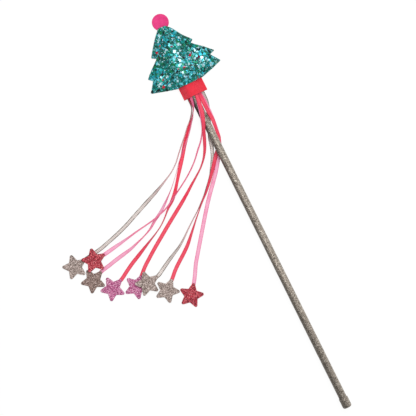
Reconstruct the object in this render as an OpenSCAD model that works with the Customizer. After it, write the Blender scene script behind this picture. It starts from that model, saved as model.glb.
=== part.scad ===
// Toy magic wand: a glitter-wrapped stick with a padded tree topper, a felt trunk and a felt disc,
// and eight ribbon streamers that each end in a star of two layers. It lies flat on its back.
// X runs across the stick, Y along it towards the tree, Z up from the surface it lies on.
// The origin is on that surface, under the stick, at the middle of the tree.

/* [Stick] */
// Length of the wooden dowel
dowel_len = 339.5; // [250:0.5:420]
// Diameter of the wooden dowel
dowel_d = 6; // [5:0.1:6.2]
// Thickness of the glitter fabric wrapped round the dowel
wrap_t = 0.45; // [0.3:0.05:0.55]
// How far the dowel runs past the middle of the tree
dowel_past_middle = 12; // [4:0.5:16]
// Free height under the stick, where ribbons pass
stick_gap = 1.9; // [1.8:0.1:2.4]

/* [End cap] */
// Length of the cap on the handle end
cap_len = 9.4; // [6:0.1:20]
// Wall of the cap
cap_t = 0.4; // [0.3:0.05:1]
// Rounding and thickness of the cap's closed end
cap_round = 2; // [1:0.1:3]

/* [Tree] */
// Width of the tree from branch tip to branch tip
tree_w = 66; // [56:1:80]
// Height of the tree from its lowest edge to its tip
tree_h = 54; // [48:1:64]
// Thickness of the glitter fabric panels
panel_t = 0.7; // [0.5:0.1:0.7]
// Swell of the padding away from the stick
crown_h = 3.5; // [2:0.1:6]
// Part of the tree's reach that the wadding fills
wadding_reach = 0.86; // [0.6:0.01:0.92]

/* [Trunk] */
// Width of the felt trunk to the left of the stick
trunk_left = 8.6; // [7.5:0.1:9]
// Width of the felt trunk to the right of the stick
trunk_right = 13.2; // [11:0.1:14]
// Length of the trunk that shows below the tree
trunk_show = 10.8; // [6:0.1:11]
// Length of the trunk that is tucked between the tree's panels
trunk_tuck = 6; // [3:0.5:8]
// Thickness of the felt
felt_t = 1; // [0.6:0.1:1.1]
// Room between the stick and the front felt, where ribbons lie
ribbon_room = 1.3; // [1.2:0.1:2]

/* [Felt disc] */
// Diameter of the disc at the tip of the tree
disc_d = 14.5; // [10:0.5:18]
// Depth of the disc that is tucked under the tip of the tree
disc_tuck = 3; // [2:0.1:5]

/* [Stars] */
// Reach of a star from its middle to the end of a tip
star_r = 10.7; // [8:0.1:11]
// Reach of a star from its middle to a notch
star_notch_r = 6.1; // [4:0.1:7]
// Rounding of a star's tips
star_tip_r = 1.4; // [0.5:0.1:2]
// Thickness of one star layer
star_t = 0.8; // [0.5:0.1:0.9]

/* [Ribbons] */
// Width of a ribbon
ribbon_w = 3.3; // [2.5:0.1:3.4]
// Thickness of a ribbon
ribbon_t = 0.3; // [0.2:0.05:0.3]

/* [Hidden] */
// Clearance between pieces that are glued or sewn together
fit = 0.05;
// Clearance between a soft piece and the one that it is folded over
ease = 0.1;
$fn = 64;

wrap_d = dowel_d + 2 * fit + 2 * wrap_t;
cap_bore_d = wrap_d + 2 * fit;
cap_d = cap_bore_d + 2 * cap_t;
stick_z = stick_gap + wrap_d / 2;
stick_top_z = stick_gap + wrap_d;
dowel_top_y = dowel_past_middle;
dowel_low_y = dowel_top_y - dowel_len;
cap_low_y = dowel_low_y - fit - cap_round;

// Tree outline at its drawn size, clockwise from the tip, tier by tier
tree_drawn = [66, 54];
tree_drawn_tip = [2, 29.7];
tree_drawn_low = -24;
tree_shape = [
    [-1.5, 30], [5, 29.5], [9, 25.5], [14.5, 16.5], [21, 9], [18, 7], [26.5, -0.5], [33.5, -7.5],
    [28.5, -9], [34.5, -17.5], [25.5, -20.5], [14, -23.5], [2.5, -24], [-9, -23.5], [-20, -20.5],
    [-31.5, -17], [-25, -8], [-28.5, -5], [-22, 1], [-14, 7.5], [-18, 10], [-12.5, 17.5], [-8, 23]
];
tree_middle = [2, 0];
tree_scale = [tree_w / tree_drawn.x, tree_h / tree_drawn.y];
tree_outline = [for (p = tree_shape) [p.x * tree_scale.x, p.y * tree_scale.y]];
tree_tip = [tree_drawn_tip.x * tree_scale.x, tree_drawn_tip.y * tree_scale.y];
tree_low_y = tree_drawn_low * tree_scale.y;
// Spacing of the points along the rim, and the shares of the way out where the padding is shaped
rim_step = 4;
rim = split_edges([for (i = [len(tree_outline) - 1 : -1 : 0]) tree_outline[i]], rim_step);
wadding_rings = [for (s = [0.18, 0.4, 0.64, 0.84, 1]) s * wadding_reach];
panel_rings = concat(wadding_rings, [(1 + wadding_reach) / 2, 1]);

trunk_mouth_y = tree_low_y - trunk_show;
trunk_top_y = tree_low_y + trunk_tuck;
trunk_back_z = panel_t + fit;
trunk_seam_z = trunk_back_z + felt_t + ease;
trunk_peak_z = stick_top_z + ribbon_room;
trunk_steps = 36;
// Reach of the trunk's swell on each side of the stick
swell_left = 9.5;
swell_right = 12.5;

disc_t = felt_t;
disc_z = panel_t + fit;
disc_right = 0.7;
disc_middle = [tree_tip.x + disc_right, tree_tip.y - disc_tuck + disc_d / 2];

front_rim_z = panel_t + ease;
// Height of the ridge over the rim, by the place along the stick: over the trunk, over the stick, past it
ridge_trunk_h = trunk_peak_z + felt_t + 2 * ease - front_rim_z;
ridge_stick_h = stick_top_z + 4 * ease - front_rim_z;
ridge_end_h = 3.5;
ridge_tip_h = 2;
ridge_step = 9;
ridge_run_out = 13;
ridge_heights = [
    [trunk_top_y + 1, ridge_trunk_h], [trunk_top_y + 1 + ridge_step, ridge_stick_h],
    [dowel_top_y, ridge_stick_h], [dowel_top_y + ridge_run_out, ridge_end_h], [tree_tip.y, ridge_tip_h]
];
// Reach of the ridge on each side of the stick
ridge_left = 15;
ridge_right = 19;
disc_lift = disc_z + disc_t + ease - front_rim_z;
disc_lift_edge = 1;
disc_lift_reach = 9;

// Height between a star's layers, which the ribbon's end fills
star_slot = ribbon_t + 2 * fit;
star_pitch = 2 * star_t + star_slot;
// Clearance under a star that lies over another
star_clear = 0.3;
star_lift = star_pitch + star_clear;
arc_steps = 6;

// Stars: place of the tip that holds the ribbon, the way it points, and the layer that the star lies in
stars = [
    [-144.2, -118.2, 10, 0], [-127, -121.5, 5, 1], [-136, -133.5, 22, 0], [-124, -147, 21, 0],
    [-107, -151.5, 40, 0], [-95, -158, 11, 1], [-85.2, -165.8, 41, 0], [-70.2, -177.1, 52, 0]
];

// Ribbon routes from inside the trunk to inside a star: X, Y, Z and roll, where 0 lies flat
routes = [
    [
        [-4.75, -31, 3.45, 50], [-4.75, -36, 3.45, 50], [-5.9, -43.5, 2.5, 72], [-10.6, -50.5, 2, 75],
        [-16.5, -56.2, 1.8, 75], [-22, -62, 1.8, 75], [-27.8, -67.8, 1.8, 75],
        [-33.5, -73.7, 1.8, 75], [-39, -79.4, 1.8, 75], [-45.5, -84.3, 1.8, 75],
        [-52.5, -88, 1.75, 68], [-60, -91.5, 1.4, 50], [-67.5, -94.7, 0.9, 28],
        [-75, -97.6, 0.5, 12], [-82.5, -100.6, 0.3, 0], [-90, -103.6, 0.3, 0],
        [-97.5, -106.7, 0.3, 0], [-105, -109.4, 0.3, 0], [-112.5, -111.7, 0.3, 0],
        [-120.5, -113.9, 0.3, 0], [-128, -115.8, 0.35, 0], [-136, -117, 0.7, 0],
        [-143.2, -118, 1, 0], [-148.6, -119, 1, 0]
    ],
    [
        [3.2, -31, 8.15, 25], [3, -35, 8.2, 25], [1.4, -42.5, 9.15, 5], [-0.4, -50.3, 9.2, 0],
        [-3.1, -57.9, 8.2, -32], [-6.6, -64.7, 4.2, -68], [-11.4, -71.5, 1.75, -68],
        [-17.2, -77.5, 1.75, -66], [-22.7, -83.4, 1.75, -70], [-28.7, -88.7, 1.8, -70],
        [-35.2, -93.5, 1.9, -70], [-42, -97.8, 2.9, -70], [-49, -101.9, 4, -70],
        [-56, -106, 4.3, -68], [-63, -109.7, 4.3, -68], [-70.8, -112.2, 4.2, -68],
        [-78.6, -114, 3.4, -68], [-86.6, -115.2, 2.3, -70], [-94.5, -116.3, 1.7, -66],
        [-102.5, -117.7, 1.6, -58], [-110.4, -119, 1.9, -40], [-118.4, -120.2, 2.6, -18],
        [-125.8, -121.4, 3.3, 0], [-131.5, -121.9, 3.3, 0]
    ],
    [
        [-2.75, -31, 8.1, -48], [-2.75, -36, 8.1, -48], [-4.2, -43.2, 6.5, -70], [-8.2, -50.1, 5.5, -100],
        [-12.9, -55.8, 3.7, -104], [-17.8, -61.8, 3.15, -104], [-23.8, -67.8, 3.15, -104],
        [-29.4, -73.3, 3, -102], [-35.1, -78.7, 2.75, -96], [-40.4, -84.8, 2, -92],
        [-45.6, -90.5, 1.8, -88], [-51.1, -96.1, 1.8, -82], [-57, -101.3, 1.75, -70],
        [-63.1, -106.3, 1.45, -50], [-69.5, -110.9, 1.3, -42], [-76.4, -114.8, 1.3, -42],
        [-82.8, -119.2, 1.5, -60], [-90, -122.4, 1.7, -72], [-97.5, -124.9, 1.6, -62],
        [-105, -127.2, 1.2, -42], [-112.8, -128.7, 0.6, -18], [-120.5, -130.1, 0.3, 0],
        [-128.2, -131.8, 0.5, 0], [-135, -133.1, 1, 0], [-140, -135.1, 1, 0]
    ],
    [
        [-4.1, -31, 4, 50], [-4.1, -36, 4, 50], [-4.5, -43.6, 2.9, 75], [-9.2, -50.4, 1.9, 78],
        [-14.5, -56.6, 1.15, 30], [-20, -62.7, 0.9, 25], [-25.3, -68.7, 0.6, 10],
        [-30.1, -75.1, 0.6, 10], [-35, -81.4, 0.65, 12], [-40, -87.6, 0.95, 25],
        [-44.9, -94, 1.25, 40], [-49.9, -100.3, 0.95, 28], [-55.5, -106, 0.95, 28],
        [-61.8, -111, 1.6, 60], [-67.7, -116.5, 1.7, 72], [-74, -121.4, 1.75, 76],
        [-81, -125.3, 1.7, 72], [-88.3, -128.8, 1.6, 60], [-95.5, -132.2, 1.2, 38],
        [-102.8, -135.7, 0.55, 12], [-110, -139.1, 0.3, 0], [-117, -143, 0.5, 0],
        [-123.1, -146.6, 1, 0], [-128.2, -148.6, 1, 0]
    ],
    [
        [3, -31, 8.7, 22], [2.8, -35, 8.75, 22], [1.9, -42.2, 9.65, 4], [0.5, -50, 9.7, 0],
        [-2, -57.6, 9.5, -18], [-5.2, -65, 7, -30], [-8.2, -72.4, 4.2, -28], [-11.6, -79.6, 2.5, -40],
        [-16.1, -86.2, 1.8, -58], [-21.7, -91.9, 1.75, -66], [-28.1, -96.7, 1.6, -60],
        [-34.7, -101.3, 1.4, -48], [-41.2, -106, 1.1, -36], [-47.8, -110.5, 0.75, -20],
        [-54.5, -114.8, 0.45, -8], [-61.3, -119.1, 0.3, 0], [-68, -123.4, 0.3, 0],
        [-74.7, -127.8, 0.3, 0], [-81.4, -132.2, 0.3, 0], [-88.1, -136.7, 0.3, 0],
        [-94.6, -141.3, 0.3, 0], [-101, -146, 0.6, 0], [-106.2, -150.8, 1, 0], [-110.4, -154.4, 1, 0]
    ],
    [
        [8.4, -31, 2.05, 5], [8.4, -36, 2.05, 5], [8, -44.2, 1.3, 10], [5.4, -52, 0.9, 3],
        [2.3, -59.4, 0.9, 0], [-0.6, -66.4, 0.9, 0], [-3.4, -73.6, 1, 10], [-5.5, -81.3, 1, 8],
        [-8.6, -88.6, 1.2, 25], [-12.9, -95.7, 1.2, 32], [-17.4, -102.4, 1.25, 38],
        [-23, -108.3, 1.4, 48], [-28.6, -113.9, 1.6, 60], [-34.7, -119.2, 1.7, 68],
        [-41, -124.2, 1.75, 75], [-47.5, -128.9, 1.75, 74], [-53.9, -133.8, 1.7, 70],
        [-60.2, -138.8, 1.6, 62], [-66.8, -143.5, 1.45, 52], [-73.9, -147.2, 1.2, 36],
        [-81, -150.7, 1.4, 20], [-88, -154.6, 2.4, 8], [-94, -157.8, 3.3, 0], [-99.5, -158.9, 3.3, 0]
    ],
    [
        [5.4, -31, 5, 35], [5.4, -36, 5, 35], [5.3, -44.2, 5.6, 10], [5.5, -52.2, 4.8, 6],
        [5.8, -60.1, 3.9, 12], [5, -68.1, 3.3, 36], [3.9, -75.9, 1.65, 24], [-0.2, -82.5, 1.15, 5],
        [-5.3, -88.4, 1.1, 12], [-10.4, -94.6, 1.4, 25], [-15.5, -100.7, 1.75, 35],
        [-20.9, -106.7, 1.8, 45], [-26.3, -112.5, 1.75, 60], [-32.3, -117.8, 1.75, 68],
        [-38, -123.3, 1.75, 75], [-43.8, -128.9, 1.75, 70], [-49.4, -134.6, 1.6, 60],
        [-55, -140.3, 1.3, 44], [-60.7, -145.9, 0.8, 22], [-67, -150.9, 0.4, 5],
        [-73.5, -155.6, 0.35, 0], [-79.6, -160.4, 0.6, 0], [-84.4, -165.1, 1, 0], [-88.6, -168.8, 1, 0]
    ],
    [
        [6.3, -31, 3.4, 35], [6.3, -36, 3.4, 35], [7.3, -43.7, 3.3, 55], [7.2, -51.5, 2.9, 55],
        [6.6, -59.4, 2.3, 45], [5.5, -67.3, 1.5, 35], [4, -74.7, 0.8, 20], [1.5, -81.9, 0.35, 0],
        [-2.6, -88.7, 0.35, 0], [-7.2, -95.1, 0.35, 0], [-12, -101.4, 0.3, 0], [-17.2, -107.4, 0.3, 0],
        [-22.5, -113.3, 0.3, 0], [-27.7, -119.3, 0.3, 0], [-32.7, -125.5, 0.3, 0],
        [-37.6, -131.8, 0.3, 0], [-42.4, -138.1, 0.3, 0], [-47.2, -144.4, 0.3, 0],
        [-52, -150.7, 0.3, 0], [-56.8, -157, 0.3, 0], [-61.6, -163.5, 0.4, 0], [-65.8, -170.5, 0.7, 0],
        [-69.6, -176.3, 1, 0], [-73, -180.6, 1, 0]
    ]
];

// Colours as the eye sees them
teal_glitter = [0.08, 0.5, 0.45];
champagne_glitter = [0.58, 0.54, 0.49];
wood = [0.83, 0.7, 0.52];
red_felt = [0.9, 0.22, 0.3];
pink_felt = [0.92, 0.24, 0.52];
white_wadding = [0.93, 0.92, 0.9];
silver = [0.7, 0.65, 0.62];
red = [0.85, 0.22, 0.32];
pink = [0.9, 0.5, 0.72];
coral = [0.94, 0.27, 0.38];
ribbon_colours = [silver, pink, pink, coral, coral, silver, coral, pink];
star_colours = [silver, red, silver, pink, pink, silver, silver, red];

// Points along a closed outline, no further apart than step
function split_edges(outline, step) = [
    for (i = [0 : len(outline) - 1])
        let (a = outline[i], b = outline[(i + 1) % len(outline)], parts = ceil(norm(b - a) / step))
        for (j = [0 : parts - 1]) a + (b - a) * j / parts
];

function unit(v) = v / norm(v);

// A smooth hump: 1 at 0, falling to 0 at the reach on either side, a little broader at the top than a cosine
hump_power = 1.3;
function hump(x, left, right) =
    let (share = min(1, pow(abs(x) / (x < 0 ? left : right), hump_power)))
    (1 + cos(180 * share)) / 2;

// Underside of the front felt of the trunk
function trunk_under(x) =
    trunk_seam_z + (trunk_peak_z - trunk_seam_z) * hump(x, swell_left, swell_right);

// Underside of the tree's front panel at a point that lies at a share of the way out to the rim
function tree_under(p, share) =
    let (
        crown = crown_h * (1 - share * share),
        ridge = lookup(p.y, ridge_heights) * hump(p.x, ridge_left, ridge_right),
        past_disc = max(0, norm(p - disc_middle) - disc_d / 2 - disc_lift_edge),
        lift = disc_lift * hump(past_disc, disc_lift_reach, disc_lift_reach)
    )
    front_rim_z + norm([crown, ridge, lift]);

// A ring of the tree's outline drawn in to a share of its reach
function tree_ring(share) = [for (p = rim) tree_middle + share * (p - tree_middle)];

function raised(ring, share, up) = [for (p = ring) [p.x, p.y, tree_under(p, share) + up]];

// A closed solid through rings of points, with a fan of triangles over each end. Each four-sided patch is
// split from its first corner, or from its second where another skin lies on it the other way round
module skin(rings, first_middle, last_middle, from_second = false) {
    n = len(rings[0]);
    m = len(rings);
    points = concat([for (ring = rings) each ring], [first_middle, last_middle]);
    sides = [
        for (i = [0 : m - 2]) for (j = [0 : n - 1])
            let (k = (j + 1) % n, a = i * n, b = (i + 1) * n)
            each from_second
                ? [[a + j, b + j, a + k], [a + k, b + j, b + k]]
                : [[a + j, b + k, a + k], [a + j, b + j, b + k]]
    ];
    first = [for (j = [0 : n - 1]) [m * n, j, (j + 1) % n]];
    last = [for (j = [0 : n - 1]) [m * n + 1, (m - 1) * n + (j + 1) % n, (m - 1) * n + j]];
    polyhedron(points, concat(sides, first, last));
}

// A round bar along the stick, from one place along Y to another
module along_stick(from_y, to_y) {
    translate([0, from_y, stick_z])
        rotate([-90, 0, 0])
            linear_extrude(to_y - from_y)
                children();
}

module dowel() {
    color(wood)
        along_stick(dowel_low_y, dowel_top_y)
            circle(d = dowel_d);
}

module stick_wrap() {
    color(champagne_glitter)
        along_stick(dowel_low_y, dowel_top_y)
            difference() {
                circle(d = wrap_d);
                circle(d = dowel_d + 2 * fit);
            }
}

// A cup over the handle end with a rounded closed end
module end_cap() {
    color(champagne_glitter)
        translate([0, cap_low_y, stick_z])
            rotate([-90, 0, 0])
                difference() {
                    rotate_extrude()
                        union() {
                            translate([0, cap_round]) square([cap_d / 2, cap_len - cap_round]);
                            square([cap_d / 2 - cap_round, cap_round]);
                            translate([cap_d / 2 - cap_round, cap_round])
                                intersection() {
                                    circle(r = cap_round);
                                    translate([0, -cap_round]) square(cap_round);
                                }
                        }
                    translate([0, 0, cap_round]) cylinder(d = cap_bore_d, h = cap_len);
                }
}

module tree_back() {
    color(teal_glitter)
        linear_extrude(panel_t)
            polygon(tree_outline);
}

// A padded panel: crowned, with a ridge over the stick and the trunk and a lift over the disc
module tree_front() {
    under = [for (s = panel_rings) raised(tree_ring(s), s, 0)];
    over = [
        for (i = [len(panel_rings) - 1 : -1 : 0])
            let (s = panel_rings[i])
            raised(tree_ring(s), s, panel_t)
    ];
    peak_z = tree_under(tree_middle, 0);
    color(teal_glitter)
        skin(
            concat(under, over),
            [tree_middle.x, tree_middle.y, peak_z],
            [tree_middle.x, tree_middle.y, peak_z + panel_t]
        );
}

// Wadding that fills the padded panel round the stick, the trunk's tuck and the disc
module tree_wadding() {
    low_z = panel_t + fit;
    peak_z = tree_under(tree_middle, 0) - ease;
    floor_rings = [for (s = wadding_rings) [for (p = tree_ring(s)) [p.x, p.y, low_z]]];
    top_rings = [
        for (i = [len(wadding_rings) - 1 : -1 : 0])
            let (s = wadding_rings[i])
            raised(tree_ring(s), s, -ease)
    ];
    color(white_wadding)
        difference() {
            skin(
                concat(floor_rings, top_rings),
                [tree_middle.x, tree_middle.y, low_z],
                [tree_middle.x, tree_middle.y, peak_z],
                from_second = true
            );
            along_stick(tree_low_y - trunk_show, dowel_top_y + ease)
                circle(d = wrap_d + 2 * ease);
            translate([-trunk_left - ease, tree_low_y - trunk_show, 0])
                cube([trunk_left + trunk_right + 2 * ease, trunk_show + trunk_tuck + ease, 2 * trunk_peak_z]);
            translate([disc_middle.x, disc_middle.y, 0])
                cylinder(d = disc_d + 2 * ease, h = 2 * trunk_peak_z);
        }
}

module trunk_back() {
    color(red_felt)
        translate([-trunk_left, trunk_mouth_y, trunk_back_z])
            cube([trunk_left + trunk_right, trunk_top_y - trunk_mouth_y, felt_t]);
}

// Front felt of the trunk, swelling over the stick and the ribbons
module trunk_front() {
    xs = [for (i = [0 : trunk_steps]) -trunk_left + (trunk_left + trunk_right) * i / trunk_steps];
    under = [for (x = xs) [x, trunk_under(x)]];
    over = [for (i = [trunk_steps : -1 : 0]) [xs[i], trunk_under(xs[i]) + felt_t]];
    color(red_felt)
        translate([0, trunk_top_y, 0])
            rotate([90, 0, 0])
                linear_extrude(trunk_top_y - trunk_mouth_y)
                    polygon(concat(under, over));
}

module felt_disc() {
    color(pink_felt)
        translate([disc_middle.x, disc_middle.y, disc_z])
            cylinder(d = disc_d, h = disc_t);
}

// Flat section of a ribbon: half widths and half thicknesses round its edge
ribbon_section = [
    [0.5, 0], [0.42, 0.5], [0, 0.5], [-0.42, 0.5], [-0.5, 0], [-0.42, -0.5], [0, -0.5], [0.42, -0.5]
];

// One ring of a ribbon, square to its route and turned by the route's roll
function ribbon_ring(route, i) =
    let (
        before = route[max(0, i - 1)],
        after = route[min(len(route) - 1, i + 1)],
        here = route[i],
        way = unit([after.x - before.x, after.y - before.y, after.z - before.z]),
        side = unit([way.y, -way.x, 0]),
        across = cos(here[3]) * side + sin(here[3]) * cross(side, way),
        normal = cross(way, across)
    )
    [for (q = ribbon_section) [here.x, here.y, here.z] + q.x * ribbon_w * across + q.y * ribbon_t * normal];

module ribbon(number) {
    route = routes[number - 1];
    first = route[0];
    last = route[len(route) - 1];
    color(ribbon_colours[number - 1])
        skin(
            [for (i = [0 : len(route) - 1]) ribbon_ring(route, i)],
            [first.x, first.y, first.z],
            [last.x, last.y, last.z]
        );
}

// Outline of a star with round tips: each tip is an arc that its two edges run into
module star_outline() {
    reach = star_r - star_tip_r;
    notch = star_notch_r * [cos(36), sin(36)] - [reach, 0];
    sweep = atan2(notch.y, notch.x) - acos(star_tip_r / norm(notch));
    polygon([
        for (arm = [0 : 4])
            let (turn = 72 * arm)
            each concat(
                [
                    for (i = [0 : arc_steps])
                        let (a = turn - sweep + 2 * sweep * i / arc_steps)
                        reach * [cos(turn), sin(turn)] + star_tip_r * [cos(a), sin(a)]
                ],
                [star_notch_r * [cos(turn + 36), sin(turn + 36)]]
            )
    ]);
}

// One layer of a star, a given height above the layer that the star lies in
module star_layer(number, up) {
    star = stars[number - 1];
    color(star_colours[number - 1])
        translate([
            star[0] - star_r * cos(star[2]), star[1] - star_r * sin(star[2]), star[3] * star_lift + up
        ])
            rotate(star[2])
                linear_extrude(star_t)
                    star_outline();
}

module star_back(number) {
    star_layer(number, 0);
}

module star_front(number) {
    star_layer(number, star_t + star_slot);
}

dowel();
stick_wrap();
end_cap();
tree_back();
tree_front();
tree_wadding();
trunk_back();
trunk_front();
felt_disc();
ribbon(1);  // ribbon_1
ribbon(2);  // ribbon_2
ribbon(3);  // ribbon_3
ribbon(4);  // ribbon_4
ribbon(5);  // ribbon_5
ribbon(6);  // ribbon_6
ribbon(7);  // ribbon_7
ribbon(8);  // ribbon_8
star_back(1);  // star_1_back
star_back(2);  // star_2_back
star_back(3);  // star_3_back
star_back(4);  // star_4_back
star_back(5);  // star_5_back
star_back(6);  // star_6_back
star_back(7);  // star_7_back
star_back(8);  // star_8_back
star_front(1);  // star_1_front
star_front(2);  // star_2_front
star_front(3);  // star_3_front
star_front(4);  // star_4_front
star_front(5);  // star_5_front
star_front(6);  // star_6_front
star_front(7);  // star_7_front
star_front(8);  // star_8_front
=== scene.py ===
"""Toy magic wand lying on its back: a glitter-wrapped stick, a padded tree of chunky glitter fabric,
a felt trunk and disc, and eight ribbons that each end in a glitter star of two layers.
Sizes are in millimetres in the tables and in metres in the meshes. X runs across the stick, Y along it
towards the tree, Z up from the flat back of the tree."""
import math

import bmesh
import bpy
import numpy as np
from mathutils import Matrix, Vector


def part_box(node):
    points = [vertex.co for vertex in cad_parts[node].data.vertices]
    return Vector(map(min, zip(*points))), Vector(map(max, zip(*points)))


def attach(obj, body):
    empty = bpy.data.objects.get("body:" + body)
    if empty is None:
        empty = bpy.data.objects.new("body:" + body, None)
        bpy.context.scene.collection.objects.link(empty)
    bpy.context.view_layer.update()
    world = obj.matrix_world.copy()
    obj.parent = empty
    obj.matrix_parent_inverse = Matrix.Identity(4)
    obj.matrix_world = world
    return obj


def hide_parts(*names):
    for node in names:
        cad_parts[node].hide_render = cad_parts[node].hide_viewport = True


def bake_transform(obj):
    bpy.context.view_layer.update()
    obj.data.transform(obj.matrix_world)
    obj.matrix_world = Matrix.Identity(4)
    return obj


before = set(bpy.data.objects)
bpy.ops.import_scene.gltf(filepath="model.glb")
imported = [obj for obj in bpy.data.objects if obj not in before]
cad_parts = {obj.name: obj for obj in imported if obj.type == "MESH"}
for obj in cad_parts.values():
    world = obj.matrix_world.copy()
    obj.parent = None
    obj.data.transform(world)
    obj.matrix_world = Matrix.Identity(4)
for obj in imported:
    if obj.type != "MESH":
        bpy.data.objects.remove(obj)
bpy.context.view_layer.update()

MM = 0.001
SEED = 20

# Camera: straight above, turned so that the stick leans as in the photograph
PHOTO_PIXELS = 416
MM_PER_PIXEL = 0.85
STICK_LEAN = 26.38
VIEW_MIDDLE = (-31.1, -125.3)
CAMERA_HEIGHT = 2000
SENSOR = 36

# Light: the world's strength, then the lamp's power, its width and its place from the middle of the view,
# both in metres, and how bright and how clear of shadows the camera sees the floor
WORLD_LIGHT = 0.53
LAMP_POWER = 5.7
LAMP_WIDTH = 0.8
LAMP_PLACE = (0.28, 0.22, 0.93)
FLOOR_GLOW = 1.03
FLOOR_CLEAR = 0.9
FLOOR_Z = -0.3
FLOOR_REACH = 3000

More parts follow.
